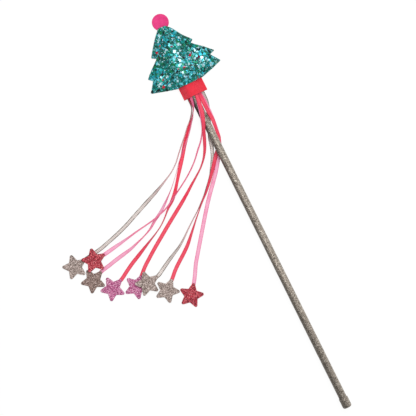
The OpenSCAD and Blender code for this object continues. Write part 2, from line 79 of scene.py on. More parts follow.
# Ribbons: size, step between sections, and routes from inside the trunk
# to inside a star, as X, Y, Z and roll (0 lies flat)
RIBBON_W = 3.3
RIBBON_T = 0.3
RIBBON_STEP = 0.5
ROUTES = [
    [
        (-4.75, -31, 3.45, 50), (-4.75, -36, 3.45, 50), (-5.9, -43.5, 2.5, 72), (-10.6, -50.5, 2, 75),
        (-16.5, -56.2, 1.8, 75), (-22, -62, 1.8, 75), (-27.8, -67.8, 1.8, 75),
        (-33.5, -73.7, 1.8, 75), (-39, -79.4, 1.8, 75), (-45.5, -84.3, 1.8, 75),
        (-52.5, -88, 1.75, 68), (-60, -91.5, 1.4, 50), (-67.5, -94.7, 0.9, 28),
        (-75, -97.6, 0.5, 12), (-82.5, -100.6, 0.3, 0), (-90, -103.6, 0.3, 0),
        (-97.5, -106.7, 0.3, 0), (-105, -109.4, 0.3, 0), (-112.5, -111.7, 0.3, 0),
        (-120.5, -113.9, 0.3, 0), (-128, -115.8, 0.35, 0), (-136, -117, 0.7, 0),
        (-143.2, -118, 1, 0), (-148.6, -119, 1, 0),
    ],
    [
        (3.2, -31, 8.15, 25), (3, -35, 8.2, 25), (1.4, -42.5, 9.15, 5), (-0.4, -50.3, 9.2, 0),
        (-3.1, -57.9, 8.2, -32), (-6.6, -64.7, 4.2, -68), (-11.4, -71.5, 1.75, -68),
        (-17.2, -77.5, 1.75, -66), (-22.7, -83.4, 1.75, -70), (-28.7, -88.7, 1.8, -70),
        (-35.2, -93.5, 1.9, -70), (-42, -97.8, 2.9, -70), (-49, -101.9, 4, -70),
        (-56, -106, 4.3, -68), (-63, -109.7, 4.3, -68), (-70.8, -112.2, 4.2, -68),
        (-78.6, -114, 3.4, -68), (-86.6, -115.2, 2.3, -70), (-94.5, -116.3, 1.7, -66),
        (-102.5, -117.7, 1.6, -58), (-110.4, -119, 1.9, -40), (-118.4, -120.2, 2.6, -18),
        (-125.8, -121.4, 3.3, 0), (-131.5, -121.9, 3.3, 0),
    ],
    [
        (-2.75, -31, 8.1, -48), (-2.75, -36, 8.1, -48), (-4.2, -43.2, 6.5, -70), (-8.2, -50.1, 5.5, -100),
        (-12.9, -55.8, 3.7, -104), (-17.8, -61.8, 3.15, -104), (-23.8, -67.8, 3.15, -104),
        (-29.4, -73.3, 3, -102), (-35.1, -78.7, 2.75, -96), (-40.4, -84.8, 2, -92),
        (-45.6, -90.5, 1.8, -88), (-51.1, -96.1, 1.8, -82), (-57, -101.3, 1.75, -70),
        (-63.1, -106.3, 1.45, -50), (-69.5, -110.9, 1.3, -42), (-76.4, -114.8, 1.3, -42),
        (-82.8, -119.2, 1.5, -60), (-90, -122.4, 1.7, -72), (-97.5, -124.9, 1.6, -62),
        (-105, -127.2, 1.2, -42), (-112.8, -128.7, 0.6, -18), (-120.5, -130.1, 0.3, 0),
        (-128.2, -131.8, 0.5, 0), (-135, -133.1, 1, 0), (-140, -135.1, 1, 0),
    ],
    [
        (-4.1, -31, 4, 50), (-4.1, -36, 4, 50), (-4.5, -43.6, 2.9, 75), (-9.2, -50.4, 1.9, 78),
        (-14.5, -56.6, 1.15, 30), (-20, -62.7, 0.9, 25), (-25.3, -68.7, 0.6, 10),
        (-30.1, -75.1, 0.6, 10), (-35, -81.4, 0.65, 12), (-40, -87.6, 0.95, 25),
        (-44.9, -94, 1.25, 40), (-49.9, -100.3, 0.95, 28), (-55.5, -106, 0.95, 28),
        (-61.8, -111, 1.6, 60), (-67.7, -116.5, 1.7, 72), (-74, -121.4, 1.75, 76),
        (-81, -125.3, 1.7, 72), (-88.3, -128.8, 1.6, 60), (-95.5, -132.2, 1.2, 38),
        (-102.8, -135.7, 0.55, 12), (-110, -139.1, 0.3, 0), (-117, -143, 0.5, 0),
        (-123.1, -146.6, 1, 0), (-128.2, -148.6, 1, 0),
    ],
    [
        (3, -31, 8.7, 22), (2.8, -35, 8.75, 22), (1.9, -42.2, 9.65, 4), (0.5, -50, 9.7, 0),
        (-2, -57.6, 9.5, -18), (-5.2, -65, 7, -30), (-8.2, -72.4, 4.2, -28), (-11.6, -79.6, 2.5, -40),
        (-16.1, -86.2, 1.8, -58), (-21.7, -91.9, 1.75, -66), (-28.1, -96.7, 1.6, -60),
        (-34.7, -101.3, 1.4, -48), (-41.2, -106, 1.1, -36), (-47.8, -110.5, 0.75, -20),
        (-54.5, -114.8, 0.45, -8), (-61.3, -119.1, 0.3, 0), (-68, -123.4, 0.3, 0),
        (-74.7, -127.8, 0.3, 0), (-81.4, -132.2, 0.3, 0), (-88.1, -136.7, 0.3, 0),
        (-94.6, -141.3, 0.3, 0), (-101, -146, 0.6, 0), (-106.2, -150.8, 1, 0), (-110.4, -154.4, 1, 0),
    ],
    [
        (8.4, -31, 2.05, 5), (8.4, -36, 2.05, 5), (8, -44.2, 1.3, 10), (5.4, -52, 0.9, 3),
        (2.3, -59.4, 0.9, 0), (-0.6, -66.4, 0.9, 0), (-3.4, -73.6, 1, 10), (-5.5, -81.3, 1, 8),
        (-8.6, -88.6, 1.2, 25), (-12.9, -95.7, 1.2, 32), (-17.4, -102.4, 1.25, 38),
        (-23, -108.3, 1.4, 48), (-28.6, -113.9, 1.6, 60), (-34.7, -119.2, 1.7, 68),
        (-41, -124.2, 1.75, 75), (-47.5, -128.9, 1.75, 74), (-53.9, -133.8, 1.7, 70),
        (-60.2, -138.8, 1.6, 62), (-66.8, -143.5, 1.45, 52), (-73.9, -147.2, 1.2, 36),
        (-81, -150.7, 1.4, 20), (-88, -154.6, 2.4, 8), (-94, -157.8, 3.3, 0), (-99.5, -158.9, 3.3, 0),
    ],
    [
        (5.4, -31, 5, 35), (5.4, -36, 5, 35), (5.3, -44.2, 5.6, 10), (5.5, -52.2, 4.8, 6),
        (5.8, -60.1, 3.9, 12), (5, -68.1, 3.3, 36), (3.9, -75.9, 1.65, 24), (-0.2, -82.5, 1.15, 5),
        (-5.3, -88.4, 1.1, 12), (-10.4, -94.6, 1.4, 25), (-15.5, -100.7, 1.75, 35),
        (-20.9, -106.7, 1.8, 45), (-26.3, -112.5, 1.75, 60), (-32.3, -117.8, 1.75, 68),
        (-38, -123.3, 1.75, 75), (-43.8, -128.9, 1.75, 70), (-49.4, -134.6, 1.6, 60),
        (-55, -140.3, 1.3, 44), (-60.7, -145.9, 0.8, 22), (-67, -150.9, 0.4, 5),
        (-73.5, -155.6, 0.35, 0), (-79.6, -160.4, 0.6, 0), (-84.4, -165.1, 1, 0), (-88.6, -168.8, 1, 0),
    ],
    [
        (6.3, -31, 3.4, 35), (6.3, -36, 3.4, 35), (7.3, -43.7, 3.3, 55), (7.2, -51.5, 2.9, 55),
        (6.6, -59.4, 2.3, 45), (5.5, -67.3, 1.5, 35), (4, -74.7, 0.8, 20), (1.5, -81.9, 0.35, 0),
        (-2.6, -88.7, 0.35, 0), (-7.2, -95.1, 0.35, 0), (-12, -101.4, 0.3, 0), (-17.2, -107.4, 0.3, 0),
        (-22.5, -113.3, 0.3, 0), (-27.7, -119.3, 0.3, 0), (-32.7, -125.5, 0.3, 0),
        (-37.6, -131.8, 0.3, 0), (-42.4, -138.1, 0.3, 0), (-47.2, -144.4, 0.3, 0),
        (-52, -150.7, 0.3, 0), (-56.8, -157, 0.3, 0), (-61.6, -163.5, 0.4, 0), (-65.8, -170.5, 0.7, 0),
        (-69.6, -176.3, 1, 0), (-73, -180.6, 1, 0),
    ],
]
# Over which stretch from its end in the trunk a ribbon takes painted shade, a deeper tone for the trunk's
# shade
ROOT_RUN = (8, 34)
RIBBON_FINISHES = ["silver", "pink", "pink", "coral", "coral", "silver", "coral", "pink"]
# How far a ribbon is cupped, and how far apart its fine threads and a metallic one's rungs are
RIBBON_CUP = 0.1
THREAD_PITCH = 0.22
RUNG_PITCH = 1.5

# Stars: size, then the tip that holds the ribbon, the way it points, and the glitter
STAR_R = 10.7
STAR_NOTCH_R = 6.1
STAR_TIP_R = 1.4
STAR_CORNER = 0.5
STAR_BEVEL = 0.22
STAR_POINTS = 200
STARS = [
    (-144.2, -118.2, 10, "silver"), (-127, -121.5, 5, "red"), (-136, -133.5, 22, "grey"),
    (-124, -147, 21, "pink"), (-107, -151.5, 40, "pink"), (-95, -158, 11, "silver"),
    (-85.2, -165.8, 41, "silver"), (-70.2, -177.1, 52, "red"),
]

# Tree: outline clockwise from the tip, tier by tier, and the shape of its padding
TREE_OUTLINE = [
    (-1.5, 30), (5, 29.5), (9, 25.5), (14.5, 16.5), (21, 9), (18, 7), (26.5, -0.5), (33.5, -7.5),
    (28.5, -9), (34.5, -17.5), (25.5, -20.5), (14, -23.5), (2.5, -24), (-9, -23.5), (-20, -20.5),
    (-31.5, -17), (-25, -8), (-28.5, -5), (-22, 1), (-14, 7.5), (-18, 10), (-12.5, 17.5), (-8, 23),
]
TREE_POINTS = 360
TREE_CORNER = 0.9
TREE_MIDDLE = (2, 0)
PANEL_T = 0.7
RIM_Z = 0.8
CROWN_H = 3.5
CROWN_RUN = 11
# Ridge over the stick: its height at places along Y, and how far it reaches to the left and right
RIDGE_Y = (-17, -8, 12, 25, 29.7)
RIDGE_H = (10.6, 8.5, 8.5, 3.5, 2)
RIDGE_REACH = (15, 19)
# Disc
DISC_MIDDLE = (2.7, 33.95)
DISC_R = 7.25
DISC_ROUND = 0.35
DISC_POINTS = 128
# The panel is lifted over the disc, fully up to a little past its edge, and less over the reach from there
DISC_LIFT = 1.05
DISC_LIFT_PAST = 1
DISC_LIFT_REACH = 9
# How steeply the humps of the tree and the trunk fall off
HUMP_POWER = 1.3
# How far the panel is uneven, over about what distance, how far out the wadding reaches, and the gaps
# between it and the back and front panels
TREE_UNEVEN = 0.25
TREE_UNEVEN_SIZE = 11
STUFFING_REACH = 0.87
STUFFING_GAPS = (0.05, 0.1)
# Cloth of the padded panel: how many times its size it is simulated at, for how many frames, how hard the
# wadding pushes, how much too large it is cut, the most that a point may rise, and the share of that by
# which it may move sideways
PUFF_SCALE = 10
PUFF_FRAMES = 20
PUFF_PRESSURE = 1.5
PUFF_SPARE = 0.02
PUFF_CAP = 0.8
PUFF_SIDEWAYS = 0.3

# Trunk: felt over the stick, with its points across and along, and how far the bulge reaches to the left
# and right
TRUNK_X = (-8.6, 13.2)
TRUNK_Y = (-34.8, -18)
TRUNK_POINTS = (90, 40)
FELT_T = 1
FELT_FUZZ = 0.04
FELT_FUZZ_SIZE = 2.2
TRUNK_BACK_Z = 0.75
TRUNK_SEAM_Z = 1.85
TRUNK_PEAK_Z = 10.2
SWELL_REACH = (9.5, 12.5)

# Stick: its axis, then the wrap with its points along and round it, and the cap
STICK_Z = 5.4
STICK_Y = (-327.5, 12)
WRAP_POINTS = (200, 81)
WRAP_R = 3.5
WRAP_INNER_R = 3.1
WRAP_UNEVEN = 0.06
WRAP_UNEVEN_SIZE = 14
# Where the wrap's edges meet, as an angle about the stick from +X, and how far one laps over the other
LAP_TURN = 3.6
LAP_STEP = 0.2
CAP_R = 3.95
CAP_INNER_R = 3.55
CAP_Y = (-329.55, -320.15)
CAP_DEPTH = 6
CAP_ROUND = 2
CAP_EDGE = 0.12
CAP_POINTS = 72


def srgb(red, green, blue):
    """A colour given as 0 to 255 on screen, as the linear value that a shader takes."""
    share = np.array([red, green, blue]) / 255
    linear = np.where(share <= 0.04045, share / 12.92, ((share + 0.055) / 1.055) ** 2.4)
    return (*linear.tolist(), 1.0)


# Glitter fabric: roughness, how far its flakes differ in it either way, the seams' width as a share of a
# flake, and their darkness. Then the stars' flake size and tilt, and the shades, the first the seams' own
GLITTER_ROUGH = 0.45
SPARKLE = 0.17
SEAM_W = 0.12
SEAM_DARK = 0.55
STAR_FLAKE = 0.46
STAR_TILT = 0.46
STAR_SHADES = {
    "silver": [(98, 84, 77), (144, 127, 119), (170, 150, 142), (187, 167, 159), (220, 203, 196)],
    "grey": [(84, 65, 59), (120, 96, 88), (143, 115, 107), (160, 133, 124), (202, 180, 172)],
    "red": [(100, 8, 30), (146, 18, 42), (186, 36, 58), (202, 52, 70), (238, 128, 134)],
    "pink": [(140, 46, 96), (174, 74, 128), (197, 96, 148), (212, 124, 168), (238, 186, 211)],
}
CHAMPAGNE_SHADES = [(66, 58, 50), (150, 138, 124), (182, 169, 155), (204, 191, 177), (236, 227, 213)]
TEAL_SHADES = [
    (8, 46, 48), (10, 82, 78), (12, 114, 100), (12, 131, 117),
    (10, 100, 66), (16, 142, 127), (34, 167, 168), (116, 205, 212),
]
# Painted shade on the stick: where along Y the ribbons near the trunk shade it, as start, full and how far
# it is then darkened by the tone below. Then a band of painted shade along the lap on the stick's shaded
# side, with the angles from it over which that fades, and where along Y this band turns towards the top, as
# start, full and the angle
PAINTED_SHADE_TONE = srgb(40, 36, 30)
SHADE_UNDER_RIBBONS = (-75, -45, 0.33)
LAP_FADE = (1, 2.4)
LAP_SHADE = 0.64
HANDLE_TWIST = (-190, -280, 0.62)

# Felt: fibres and soft patches to a metre, and the sums of both at its dark and its full tone
FIBRE_SCALE = 2600
PATCH_SCALE = 320
FELT_TONES = (0.7, 1.3)
# Ribbons: slow changes of tone to a millimetre, and the sine of the roll from which a ribbon takes its
# painted shade tone on edge
DRIFT_SCALE = 0.15
TURNED_FROM = 0.72
# How far satin goes to its painted sheen, a lighter tone along the middle, and to its selvedge's tone at the
# edges and on threads
PAINTED_SHEEN_SHARE = 1.6
SELVEDGE_SHARE = 0.7
THREAD_SHARE = 0.14
# A metallic ribbon's selvedges: how dark they are between the rungs, and how much darker on them, then
# between which values of the slow drift they go from faint to dark, and what they are multiplied by
SELVEDGE_DARK = 0.5
SELVEDGE_RUNG = 0.45
BLOTCHES = (0.4, 0.58)
BLOTCH_DARK = (0.5, 1.5)
# How far a metallic ribbon goes to its painted shade tone on edge, and to its selvedge's dark tone at its
# root as painted shade from the trunk
SILVER_TURNED = 0.8
SILVER_ROOT_SHADE = 0.45

# Loose flakes: sides, thickness, and colours with how common each is at the rim and where the pale ones
# gather. The pale ones are partly the glitter's own and partly painted glints
FLAKE_SIDES = 6
FLAKE_T = 0.1
FLAKE_COLOURS = [
    (srgb(12, 150, 140), 0.26, 0.2), (srgb(8, 98, 90), 0.16, 0.11), (srgb(8, 132, 82), 0.14, 0.12),
    (srgb(6, 36, 38), 0.17, 0.14), (srgb(34, 178, 198), 0.14, 0.16), (srgb(104, 216, 230), 0.1, 0.17),
    (srgb(196, 238, 246), 0.08, 0.22),
]
# Odd colours among the chunky flakes, with the share of each
ODD_FLAKES = [(srgb(206, 30, 62), 0.018), (srgb(88, 6, 36), 0.018), (srgb(246, 158, 148), 0.003)]
# Where the pale flakes, partly painted glints, gather, and how far from there
PALE_MIDDLE = (1, -9)
PALE_REACH = (30, 13)
# Layers of flakes: how many, the least and largest radius, the tilt, the height over the fabric, and how
# near the rim they come
FLAKE_LAYERS = [(2600, (0.32, 0.68), 0.3, 0.12, 0.3), (520, (0.85, 1.5), 0.13, 0.26, 0.9)]


def unit(vectors):
    """The vectors divided by their lengths."""
    return vectors / np.linalg.norm(vectors, axis=-1, keepdims=True)


def hump(x, reach):
    """1 at 0, falling as a cosine of |x| / reach to HUMP_POWER, to 0 at the reach on either side."""
    share = np.abs(x) / np.where(x < 0, reach[0], reach[1])
    return (1 + np.cos(np.pi * np.minimum(1, share ** HUMP_POWER))) / 2


def ripple(x, y, size, seed, count=6):
    """Gentle unevenness between -1 and 1: the mean of a few sine waves of about the given size, each at an
    angle, a phase and a size drawn from the seed."""
    rng = np.random.default_rng(seed)
    angles = rng.uniform(0, 2 * np.pi, count)
    phases = rng.uniform(0, 2 * np.pi, count)
    sizes = size * rng.uniform(0.7, 1.6, count)
    waves = [
        np.sin(2 * np.pi * (x * np.cos(a) + y * np.sin(a)) / s + p) for a, s, p in zip(angles, sizes, phases)
    ]
    return sum(waves) / count


def mesh_piece(name, points, faces, material, uv=None, values=()):
    """A mesh object at the origin from points in millimetres, with its faces turned outwards. values are
    pairs of a name and one number per point, kept as attributes that a material can read."""
    mesh = bpy.data.meshes.new(name)
    mesh.from_pydata((points.reshape(-1, 3) * MM).tolist(), [], faces)
    if uv is not None:
        layer = mesh.uv_layers.new(name="UVMap")
        corners = np.zeros(len(mesh.loops), int)
        mesh.loops.foreach_get("vertex_index", corners)
        layer.data.foreach_set("uv", uv.reshape(-1, 2)[corners].ravel())
    for label, numbers in values:
        mesh.attributes.new(label, "FLOAT", "POINT").data.foreach_set("value", numbers.ravel())
    form = bmesh.new()
    form.from_mesh(mesh)
    bmesh.ops.recalc_face_normals(form, faces=form.faces)
    form.to_mesh(mesh)
    form.free()
    mesh.shade_smooth()
    piece = bpy.data.objects.new(name, mesh)
    bpy.context.collection.objects.link(piece)
    mesh.materials.append(material)
    return piece


def ring_faces(rings, around):
    """Quads between each ring of points and the next, and a fan over each end to the last two points."""
    first = np.arange(rings - 1)[:, None] * around
    here = np.arange(around)[None, :]
    after = (here + 1) % around
    quads = np.stack([first + here, first + after, first + around + after, first + around + here], -1)
    turn = np.arange(around)
    nose = np.stack([np.full(around, rings * around), (turn + 1) % around, turn], -1)
    last = (rings - 1) * around
    tail = np.stack([np.full(around, rings * around + 1), last + turn, last + (turn + 1) % around], -1)
    return quads.reshape(-1, 4).tolist() + nose.tolist() + tail.tolist()


def ringed_piece(name, rings, material, uv=None, values=()):
    """A closed surface through rings of points: rings is an array (rings, points around, 3)."""
    count, around, _ = rings.shape
    points = np.concatenate([rings.reshape(-1, 3), rings[:1].mean(1), rings[-1:].mean(1)])
    if uv is not None:
        uv = np.concatenate([uv.reshape(-1, 2), uv[:1].mean(1), uv[-1:].mean(1)])
    values = [(label, np.concatenate([v.ravel(), v[0, :1], v[-1, :1]])) for label, v in values]
    return mesh_piece(name, points, ring_faces(count, around), material, uv, values)


def sheet_piece(name, over, under, material):
    """A sheet with thickness: two grids (rows, columns, 3), over and under, joined round their border."""
    rows, columns, _ = over.shape
    index = np.arange(rows * columns).reshape(rows, columns)
    top = np.stack([index[:-1, :-1], index[:-1, 1:], index[1:, 1:], index[1:, :-1]], -1).reshape(-1, 4)
    border = np.concatenate([index[0, :-1], index[:-1, -1], index[-1, :0:-1], index[:0:-1, 0]])
    following = np.roll(border, -1)
    below = rows * columns
    wall = np.stack([border, border + below, following + below, following], -1)
    faces = np.concatenate([top, top[:, ::-1] + below, wall])
    points = np.concatenate([over.reshape(-1, 3), under.reshape(-1, 3)])
    return mesh_piece(name, points, faces.tolist(), material)


def at_height(flat, z):
    """Flat points (count, 2) with the same Z for all."""
    return np.column_stack([flat, np.full(len(flat), z)])


def run_along(points, columns):
    """How far along a line of points each one is, by that many of its first columns."""
    return np.concatenate([[0], np.cumsum(np.linalg.norm(np.diff(points[:, :columns], axis=0), axis=1))])


def smooth_curve(points, step, between=24):
    """Points at even steps along the Catmull-Rom curve through the given points, each with all its columns,
    and how far along each is."""
    p = np.array(points, float)
    p = np.concatenate([2 * p[:1] - p[1:2], p, 2 * p[-1:] - p[-2:-1]])
    t = np.linspace(0, 1, between, endpoint=False)[None, :, None]
    a, b, c, d = (p[i:len(p) - 3 + i][:, None, :] for i in range(4))
    second = 2 * a - 5 * b + 4 * c - d
    third = 3 * b - a - 3 * c + d
    curve = 0.5 * (2 * b + (c - a) * t + second * t ** 2 + third * t ** 3)
    curve = np.concatenate([curve.reshape(-1, p.shape[1]), p[-2:-1]])
    run = run_along(curve, 3)
    even = np.linspace(0, run[-1], int(run[-1] / step) + 1)
    return np.stack([np.interp(even, run, column) for column in curve.T], 1), even


def round_corners(outline, radius, steps=5, most=0.4):
    """An outline of straight edges whose corners are short arcs: quadratic curves that leave each edge
    a radius away from the corner, or that share of the edge where it is less."""
    p = np.array(outline, float)
    before = np.roll(p, 1, 0) - p
    after = np.roll(p, -1, 0) - p
    back = np.minimum(radius, most * np.linalg.norm(before, axis=1))[:, None] * unit(before)
    ahead = np.minimum(radius, most * np.linalg.norm(after, axis=1))[:, None] * unit(after)
    t = np.linspace(0, 1, steps)[None, :, None]
    arcs = p[:, None] + back[:, None] * (1 - t) ** 2 + ahead[:, None] * t ** 2
    return arcs.reshape(-1, 2)


def even_outline(outline, count):
    """The same closed outline with count points at even steps along it."""
    p = np.concatenate([outline, outline[:1]])
    run = run_along(p, 2)
    even = np.linspace(0, run[-1], count, endpoint=False)
    return np.stack([np.interp(even, run, column) for column in p.T], 1)


def edge_distance(points, outline):
    """How far each point is from the nearest edge of a closed outline."""
    a = outline[None]
    b = np.roll(outline, -1, 0)[None]
    q = points.reshape(-1, 1, 2)
    share = np.clip(((q - a) * (b - a)).sum(-1) / ((b - a) ** 2).sum(-1), 0, 1)
    nearest = a + share[..., None] * (b - a)
    return np.linalg.norm(q - nearest, axis=-1).min(1).reshape(points.shape[:-1])


def new_material(name):
    """A material, its node tree and its Principled shader."""
    material = bpy.data.materials.new(name)
    material.use_nodes = True
    return material, material.node_tree, material.node_tree.nodes["Principled BSDF"]


def node(tree, kind, **settings):
    """A new node with the given settings."""
    made = tree.nodes.new(kind)
    for name, value in settings.items():
        setattr(made, name, value)
    return made


def feed(tree, value, socket):
    """Links an output to a socket, or sets the socket to a constant."""
    if isinstance(value, bpy.types.NodeSocket):
        tree.links.new(value, socket)
    else:
        socket.default_value = value


def feed_all(tree, sockets, values):
    """Feeds sockets by their names."""
    for label, value in values.items():
        feed(tree, value, sockets[label])


def math_node(tree, operation, *values, kind="ShaderNodeMath"):
    """A math node with its inputs fed in order. Returns its result."""
    made = node(tree, kind, operation=operation)
    for value, socket in zip(values, made.inputs):
        feed(tree, value, socket)
    return made.outputs[0]


def map_range(tree, value, start, end, low=0, high=1, smooth=False):
    """How far the value is from start to end, kept within them, as a number from low to high."""
    made = node(tree, "ShaderNodeMapRange", interpolation_type="SMOOTHSTEP" if smooth else "LINEAR")
    ends = {"From Min": start, "From Max": end, "To Min": low, "To Max": high}
    feed_all(tree, made.inputs, {"Value": value, **ends})
    return made.outputs["Result"]


def noise(tree, place, scale, detail, distortion=0, one_way=False):
    """A noise over a place, or over a distance along one line."""
    made = node(tree, "ShaderNodeTexNoise", noise_dimensions="1D" if one_way else "3D")
    feed_all(tree, made.inputs, {
        "W" if one_way else "Vector": place, "Scale": scale, "Detail": detail, "Distortion": distortion,
    })
    return made.outputs["Fac"]


def separate(tree, place):
    """The X, Y and Z of a vector."""
    made = node(tree, "ShaderNodeSeparateXYZ")
    tree.links.new(place, made.inputs[0])
    return made.outputs


def colour_ramp(tree, factor, stops, stepped=False):
    """A ramp of (place, colour) stops, smooth or in steps."""
    ramp = node(tree, "ShaderNodeValToRGB")
    ramp.color_ramp.interpolation = "CONSTANT" if stepped else "LINEAR"
    marks = ramp.color_ramp.elements
    while len(marks) < len(stops):
        marks.new(1)
    for mark, (place, colour) in zip(marks, stops):
        mark.position = place
        mark.color = colour
    tree.links.new(factor, ramp.inputs["Fac"])
    return ramp.outputs["Color"]


def mix_colours(tree, factor, first, second, blend="MIX"):
    """The first colour, with the second mixed in by the factor."""
    made = node(tree, "ShaderNodeMix", data_type="RGBA", blend_type=blend)
    for value, socket in ((factor, made.inputs[0]), (first, made.inputs[6]), (second, made.inputs[7])):
        feed(tree, value, socket)
    return made.outputs[2]


def bump(tree, height, strength, distance):
    """A normal that follows a height, which stands for a distance in millimetres."""
    made = node(tree, "ShaderNodeBump")
    feed_all(tree, made.inputs, {"Height": height, "Strength": strength, "Distance": distance * MM})
    return made.outputs["Normal"]


def object_place(tree):
    """A point's place on the object, in metres."""
    return node(tree, "ShaderNodeTexCoord").outputs["Object"]


def new_group(name, inputs, outputs):
    """An empty shader node group with named sockets of the given kinds. Returns it, what its inputs give
    inside it, and what its outputs take there."""
    group = bpy.data.node_groups.new(name, "ShaderNodeTree")
    for way, sockets in (("INPUT", inputs), ("OUTPUT", outputs)):
        for label, kind in sockets.items():
            group.interface.new_socket(label, in_out=way, socket_type=f"NodeSocket{kind}")
    return group, node(group, "NodeGroupInput").outputs, node(group, "NodeGroupOutput").inputs


def make_glitter_group():
    """Glitter: each Voronoi cell is a flake with two random shades and a normal tilted its own way.
    Gap is 1 in the seams between flakes."""
    group, source, result = new_group(
        "glitter_flakes",
        {"Vector": "Vector", "Scale": "Float", "Tilt": "Float"},
        {"Shade": "Float", "Tint": "Float", "Gap": "Float", "Normal": "Vector"},
    )
    cells = node(group, "ShaderNodeTexVoronoi", feature="F1")
    seams = node(group, "ShaderNodeTexVoronoi", feature="DISTANCE_TO_EDGE")
    for voronoi in (cells, seams):
        feed_all(group, voronoi.inputs, {"Vector": source["Vector"], "Scale": source["Scale"]})
    parts = node(group, "ShaderNodeSeparateColor")
    group.links.new(cells.outputs["Color"], parts.inputs["Color"])
    vectors = "ShaderNodeVectorMath"
    centred = math_node(group, "SUBTRACT", cells.outputs["Color"], (0.5, 0.5, 0.5), kind=vectors)
    lean = math_node(group, "MULTIPLY", centred, source["Tilt"], kind=vectors)
    surface = node(group, "ShaderNodeNewGeometry").outputs["Normal"]
    tilted = math_node(group, "ADD", surface, lean, kind=vectors)
    feed_all(group, result, {
        "Shade": parts.outputs["Red"],
        "Tint": parts.outputs["Green"],
        "Gap": map_range(group, seams.outputs["Distance"], 0, SEAM_W, 1, 0),
        "Normal": math_node(group, "NORMALIZE", tilted, kind=vectors),
    })
    return group


def make_fibre_group():
    """Felt: fine tangled fibres as a distorted noise, and soft patches a few millimetres across."""
    group, source, result = new_group(
        "felt_fibres", {"Vector": "Vector"}, {"Fibre": "Float", "Patch": "Float"}
    )
    feed_all(group, result, {
        "Fibre": noise(group, source["Vector"], FIBRE_SCALE, detail=4, distortion=1.5),
        "Patch": noise(group, source["Vector"], PATCH_SCALE, detail=3),
    })
    return group


def make_ribbon_group():
    """Ribbon weave, from a UV map of millimetres along and the share across: Edge is 1 on the selvedges,
    Middle falls from 1 at the middle to 0 at the edges as 1 - (2u)^2, Thread rises and falls with the fine
    cross threads, Rung with the coarse ones of a metallic ribbon, Drift changes slowly along the ribbon,
    and Root falls from 1 to 0 over the stretch ROOT_RUN."""
    labels = ("Edge", "Thread", "Rung", "Drift", "Root", "Middle")
    group, source, result = new_group("ribbon_weave", {"Border": "Float"}, dict.fromkeys(labels, "Float"))
    parts = separate(group, node(group, "ShaderNodeUVMap", uv_map="UVMap").outputs["UV"])
    along = parts["X"]
    off_middle = math_node(group, "ABSOLUTE", math_node(group, "SUBTRACT", parts["Y"], 0.5))
    to_edge = math_node(group, "SUBTRACT", 0.5, off_middle)
    squared = math_node(group, "POWER", math_node(group, "MULTIPLY", off_middle, 2), 2)
    waves = []
    for pitch in (THREAD_PITCH, RUNG_PITCH):
        wave = math_node(group, "SINE", math_node(group, "MULTIPLY", along, 2 * math.pi / pitch))
        waves.append(math_node(group, "MULTIPLY_ADD", wave, 0.5, 0.5))
    feed_all(group, result, {
        "Edge": math_node(group, "LESS_THAN", to_edge, source["Border"]),
        "Thread": waves[0],
        "Rung": waves[1],
        "Drift": noise(group, along, DRIFT_SCALE, detail=2, one_way=True),
        "Root": map_range(group, along, *ROOT_RUN, 1, 0, smooth=True),
        "Middle": math_node(group, "SUBTRACT", 1, squared),
    })
    return group


GLITTER = make_glitter_group()
FIBRES = make_fibre_group()
WEAVE = make_ribbon_group()


def add_group(tree, group, **values):
    """A node group with its inputs fed by name. Returns its outputs."""
    made = node(tree, "ShaderNodeGroup", node_tree=group)
    feed_all(tree, made.inputs, values)
    return made.outputs


def painted_shade_share(tree, place):
    """How far the stick's fabric is darkened by painted shade: under the ribbons near the trunk, and in a
    band along the lap on its shaded side, which fades out over LAP_FADE about the stick and turns towards the
    top on the handle."""
    parts = separate(tree, place)
    under_ribbons, twist = (
        map_range(tree, parts["Y"], start * MM, full * MM, 0, most)
        for start, full, most in (SHADE_UNDER_RIBBONS, HANDLE_TWIST)
    )
    turn = math_node(tree, "ARCTAN2", math_node(tree, "SUBTRACT", parts["Z"], STICK_Z * MM), parts["X"])
    from_lap = math_node(tree, "ADD", math_node(tree, "SUBTRACT", turn, LAP_TURN), twist)
    off_lap = math_node(tree, "PINGPONG", from_lap, math.pi)
    return math_node(tree, "ADD", under_ribbons, map_range(tree, off_lap, *LAP_FADE, LAP_SHADE, 0, smooth=True))


def glitter_fabric(name, shades, flake, tilt, metal=0.25, shaded=False):
    """Glitter fabric: flakes of a few shades, each tilted its own way and rougher or shinier than the next,
    with darker seams between them. The stick's fabric is also darkened by painted shade: a band on its shaded
    side, and under the ribbons near the trunk."""
    material, tree, shader = new_material(name)
    place = object_place(tree)
    flakes = add_group(tree, GLITTER, Vector=place, Scale=1 / (flake * MM), Tilt=tilt)
    stops = [(i / len(shades), srgb(*shade)) for i, shade in enumerate(shades)]
    colour = colour_ramp(tree, flakes["Shade"], stops, stepped=True)
    colour = mix_colours(tree, math_node(tree, "MULTIPLY", flakes["Gap"], SEAM_DARK), colour, stops[0][1])
    # painted shade on the stick: its shaded side, and under the ribbons near the trunk
    if shaded:
        colour = mix_colours(tree, painted_shade_share(tree, place), colour, PAINTED_SHADE_TONE, blend="MULTIPLY")
    rough = map_range(tree, flakes["Tint"], 0, 1, GLITTER_ROUGH - SPARKLE, GLITTER_ROUGH + SPARKLE)
    feed_all(tree, shader.inputs, {
        "Base Color": colour, "Normal": flakes["Normal"], "Roughness": rough, "Metallic": metal,
    })
    return material


